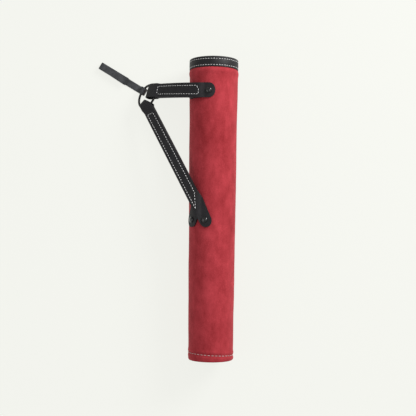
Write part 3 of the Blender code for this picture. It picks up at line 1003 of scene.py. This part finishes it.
def landing_drop(strap, past):
    """How far the upper strap's top layer has come down past the split line, from a straight way on."""
    if strap == "lower" or past <= 0:
        return 0
    lift = HINGE_LIFT + LAYER_SPACING / 2
    height = eased(lift, GAP + LEATHER / 2, LANDING_SLOPE, STRAPS[strap]["landing"], past)
    return height - lift - LANDING_SLOPE * past


def smoothed(rows, middle, reach, times):
    """Eases rows near one of them into a fair curve along the strip."""
    rows = [list(row) for row in rows]
    for _ in range(times):
        before = [list(row) for row in rows]
        for i in range(max(1, middle - reach), min(len(rows) - 1, middle + reach + 1)):
            three = zip(before[i - 1], before[i], before[i + 1])
            rows[i] = [here * 0.5 + (back + ahead) * 0.25 for back, here, ahead in three]
    return rows


def mark_places(made, rows, columns, half_width):
    """Gives each point of a strip its distance across and along the cut leather."""
    travel = 0
    values = []
    for i, row in enumerate(rows):
        travel += (row[COLUMNS] - rows[i - 1][COLUMNS]).length if i else 0
        for column in columns:
            values += [column * half_width, travel, 0]
    made.data.attributes.new("leather_place", "FLOAT_VECTOR", "POINT").data.foreach_set("vector", values)


class QUIVER_OT_straps(bpy.types.Operator):
    """Make the two straps with their tails"""

    bl_idname = "quiver.straps"
    bl_label = "Straps"

    def execute(self, context):
        columns = [math.sin(i / COLUMNS * 90 * DEG) for i in range(-COLUMNS, COLUMNS + 1)]
        leather = leather_finish("strap_leather", True)
        for strap, facts in STRAPS.items():
            front = list(reversed(tail_rows(strap, "front", columns)))
            layers = layer_rows(strap, columns)
            turn = turn_rows(strap, columns)
            back = tail_rows(strap, "back", columns)
            rows = front[:-1] + layers
            rows = smoothed(rows, len(front) - 1, 5, 6)
            join = len(rows) - 1
            rows = smoothed(rows + turn + back, join, 2, 2)
            shape = drawn_out(rows)
            made = piece(f"{strap}_strap_leather", shape, leather)
            mark_places(made, rows, columns, facts["half_width"])
            thickened(made, LEATHER, sizes().edge_round)
            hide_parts(f"{strap}_strap", f"{strap}_front_tail", f"{strap}_back_tail")
            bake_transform(made)
        return {"FINISHED"}


def sew_row(shape, strap, start, end):
    """One straight row of stitches through both layers, seen on both faces."""
    line, length_to_split = strap_line(strap)
    count = max(1, round((end - start).length / sizes().strap_pitch))
    flat_way = (end - start).normalized()
    length = (end - start).length / count * STITCH_SHARE
    for i in range(count):
        spot = start.lerp(end, (i + 0.5) / count)
        point, tangent, across, normal = line(spot.x)
        point = point + normal * landing_drop(strap, spot.x - length_to_split)
        way = (tangent * flat_way.x + across * flat_way.y).normalized()
        height = half_height(strap, spot.x) + LEATHER / 2 - 0.02 * MM
        for sign in (1, -1):
            middle = point + across * spot.y + normal * height * sign
            add_stitch(shape, middle, way, normal, length, sizes().thread)


class QUIVER_OT_strap_sewing(bpy.types.Operator):
    """Sew each strap's two layers together"""

    bl_idname = "quiver.strap_sewing"
    bl_label = "Strap sewing"

    def execute(self, context):
        white = waxed_thread()
        for strap, corners in STRAP_SEWING.items():
            shape = bmesh.new()
            for here, there in zip(corners, corners[1:]):
                sew_row(shape, strap, Vector((*here, 0)) * MM, Vector((*there, 0)) * MM)
            made = piece(f"{strap}_strap_stitches", shape, white)
            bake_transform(made)
        return {"FINISHED"}


# The ring and the hook


class QUIVER_OT_ring(bpy.types.Operator):
    """Make the welded wire ring"""

    bl_idname = "quiver.ring"
    bl_label = "Ring"

    def execute(self, context):
        profile = [
            (RING_RADIUS + RING_WIRE_RADIUS * math.cos(turn), RING_WIRE_RADIUS * math.sin(turn))
            for turn in (step * 2 * math.pi / 24 for step in range(24))
        ]
        shape = turned(profile, 112)
        for vert in shape.verts:
            from_weld = math.atan2(vert.co.y, vert.co.x) - WELD_ANGLE
            swell = 1 + 0.16 * hump(from_weld, 4 * DEG) - 0.1 * hump(abs(from_weld) - 7 * DEG, 2.5 * DEG)
            flat = Vector((vert.co.x, vert.co.y, 0)).normalized() * RING_RADIUS
            vert.co = flat + (vert.co - flat) * swell
        place = Matrix.Translation(RING_CENTRE) @ turned_to(RING_AXIS)
        piece("wire_ring", shape, wire_finish(), place, ("ring",), "ring")
        return {"FINISHED"}


def hook_matrix():
    """From the hook's own frame, with X from the eye to the far bend and Z up, to the world."""
    side = -EYE_AXIS
    heading = math.atan2(-side.x, side.y)
    return Matrix.Translation(EYE_PLACE) @ Matrix.Rotation(heading, 4, "Z"), heading


def steel_strip(path, half_widths, shifts):
    """Rows across a strip along (x, z) points."""
    sides = [part / 3 for part in (-3, -2, -1, 0, 1, 2, 3)]
    return [
        [Vector((x, shift + half * side, z)) for side in sides]
        for (x, z), half, shift in zip(path, half_widths, shifts)
    ]


class QUIVER_OT_belt_hook(bpy.types.Operator):
    """Make the belt hook and its sprung leaf"""

    bl_idname = "quiver.belt_hook"
    bl_label = "Belt hook"

    def execute(self, context):
        place, heading = hook_matrix()
        steel = steel_finish(heading)
        bend = (BELT_SLOT + HOOK_STEEL) / 2
        root = Vector((HOOK_REACH - bend - HOOK_STEEL / 2, 0, -EYE_RADIUS + EYE_DROP + 2 * bend))
        path = []
        for step in range(36):
            turn = EYE_TURN * (1 - step / 36)
            path.append((-EYE_RADIUS * math.sin(turn), -EYE_RADIUS * math.cos(turn)))
        for step in range(5):
            path.append((NECK_LENGTH * step / 4, -EYE_RADIUS + eased(0, EYE_DROP, 0, 4, step)))
        for step in range(1, 11):
            path.append((NECK_LENGTH + (root.x - NECK_LENGTH) * step / 10, -EYE_RADIUS + EYE_DROP))
        for step in range(1, 19):
            turn = step * 180 * DEG / 18
            path.append((root.x + bend * math.sin(turn), root.z - bend * (1 + math.cos(turn))))
        count = len(path)
        halves = [HOOK_HALF_WIDTH] * count
        for i, cut in enumerate((0.9, 0.5, 0.22, 0.06)):
            halves[i] -= cut * MM
        rows = steel_strip(path, halves, [0] * count)
        hook = piece("steel_belt_hook", drawn_out(rows), steel, place=place)
        thickened(hook, HOOK_STEEL, sizes().steel_round)
        settle(hook, ("belt_hook",), "hook")
        flat = LEAF_LENGTH - FLARE_LENGTH
        path = [(-LEAF_ROOT_GAP, 0)] + [(-flat * step / 8, 0) for step in range(1, 9)]
        path += [(-flat - FLARE_LENGTH * step / 12, FLARE_RISE * (step / 12) ** 2) for step in range(1, 13)]
        parts = [-x / LEAF_LENGTH for x, _ in path]
        halves = [HOOK_HALF_WIDTH + (LEAF_TIP_HALF_WIDTH - HOOK_HALF_WIDTH) * part for part in parts]
        for i, cut in enumerate((1.3, 0.55, 0.15)):
            halves[-1 - i] -= cut * MM
        shifts = [LEAF_TIP_SHIFT * part for part in parts]
        rows = steel_strip(path, halves, shifts)
        leaf = piece("steel_clip_leaf", drawn_out(rows), steel, place=place @ Matrix.Translation(root))
        thickened(leaf, HOOK_STEEL, sizes().steel_round)
        settle(leaf, ("clip_leaf",), "leaf")
        return {"FINISHED"}


# The stage


def soft_light(name, place, target, size, power):
    light = bpy.data.lights.new(name, "AREA")
    light.shape = "RECTANGLE"
    light.size = light.size_y = size
    light.energy = power
    made = bpy.data.objects.new(name, light)
    made.location = place
    made.rotation_euler = (Vector(target) - Vector(place)).to_track_quat("-Z", "Y").to_euler()
    bpy.context.scene.collection.objects.link(made)


class QUIVER_OT_stage(bpy.types.Operator):
    """Make the floor, the lights and the camera"""

    bl_idname = "quiver.stage"
    bl_label = "Stage"

    def execute(self, context):
        floor = bmesh.new()
        bmesh.ops.create_grid(floor, x_segments=1, y_segments=1, size=FLOOR_HALF_SIZE)
        piece("pale_floor", floor, floor_finish())
        for name, facts in LIGHTS.items():
            soft_light(name, *facts)
        world = bpy.data.worlds.new("studio")
        world.use_nodes = True
        background = world.node_tree.nodes["Background"]
        background.inputs["Color"].default_value = (1, 1, 1, 1)
        background.inputs["Strength"].default_value = WORLD_STRENGTH
        bpy.context.scene.world = world
        lens = bpy.data.cameras.new("camera")
        lens.lens = CAMERA_LENS
        lens.sensor_width = CAMERA_SENSOR
        lens.shift_y = CAMERA_SHIFT
        camera = bpy.data.objects.new("camera", lens)
        camera.location = CAMERA_PLACE
        camera.rotation_euler = (0, 0, CAMERA_TURN)
        bpy.context.scene.collection.objects.link(camera)
        bpy.context.scene.camera = camera
        bpy.context.scene.view_settings.view_transform = "Standard"
        return {"FINISHED"}


class QUIVER_PT_panel(bpy.types.Panel):
    """The quiver's pieces and settings"""

    bl_idname = "QUIVER_PT_panel"
    bl_label = "Tube quiver"
    bl_space_type = "VIEW_3D"
    bl_region_type = "UI"
    bl_category = "Quiver"

    def draw(self, context):
        for operator in OPERATORS:
            self.layout.operator(operator.bl_idname)
        for group in (context.scene.quiver_sizes, context.scene.quiver_colours):
            box = self.layout.box()
            for name in group.__annotations__:
                box.prop(group, name)


OPERATORS = (
    QUIVER_OT_suede_skin,
    QUIVER_OT_mouth_binding,
    QUIVER_OT_tube_sewing,
    QUIVER_OT_inside,
    QUIVER_OT_rivets,
    QUIVER_OT_straps,
    QUIVER_OT_strap_sewing,
    QUIVER_OT_ring,
    QUIVER_OT_belt_hook,
    QUIVER_OT_stage,
)
CLASSES = (QuiverSizes, QuiverColours, *OPERATORS, QUIVER_PT_panel)


def register():
    for made in CLASSES:
        bpy.utils.register_class(made)
    bpy.types.Scene.quiver_sizes = PointerProperty(type=QuiverSizes)
    bpy.types.Scene.quiver_colours = PointerProperty(type=QuiverColours)


def unregister():
    del bpy.types.Scene.quiver_colours
    del bpy.types.Scene.quiver_sizes
    for made in reversed(CLASSES):
        bpy.utils.unregister_class(made)


def main():
    register()
    bpy.ops.quiver.suede_skin()
    bpy.ops.quiver.mouth_binding()
    bpy.ops.quiver.tube_sewing()
    bpy.ops.quiver.inside()
    bpy.ops.quiver.rivets()
    bpy.ops.quiver.straps()
    bpy.ops.quiver.strap_sewing()
    bpy.ops.quiver.ring()
    bpy.ops.quiver.belt_hook()
    bpy.ops.quiver.stage()


if __name__ == "__main__":
    main()
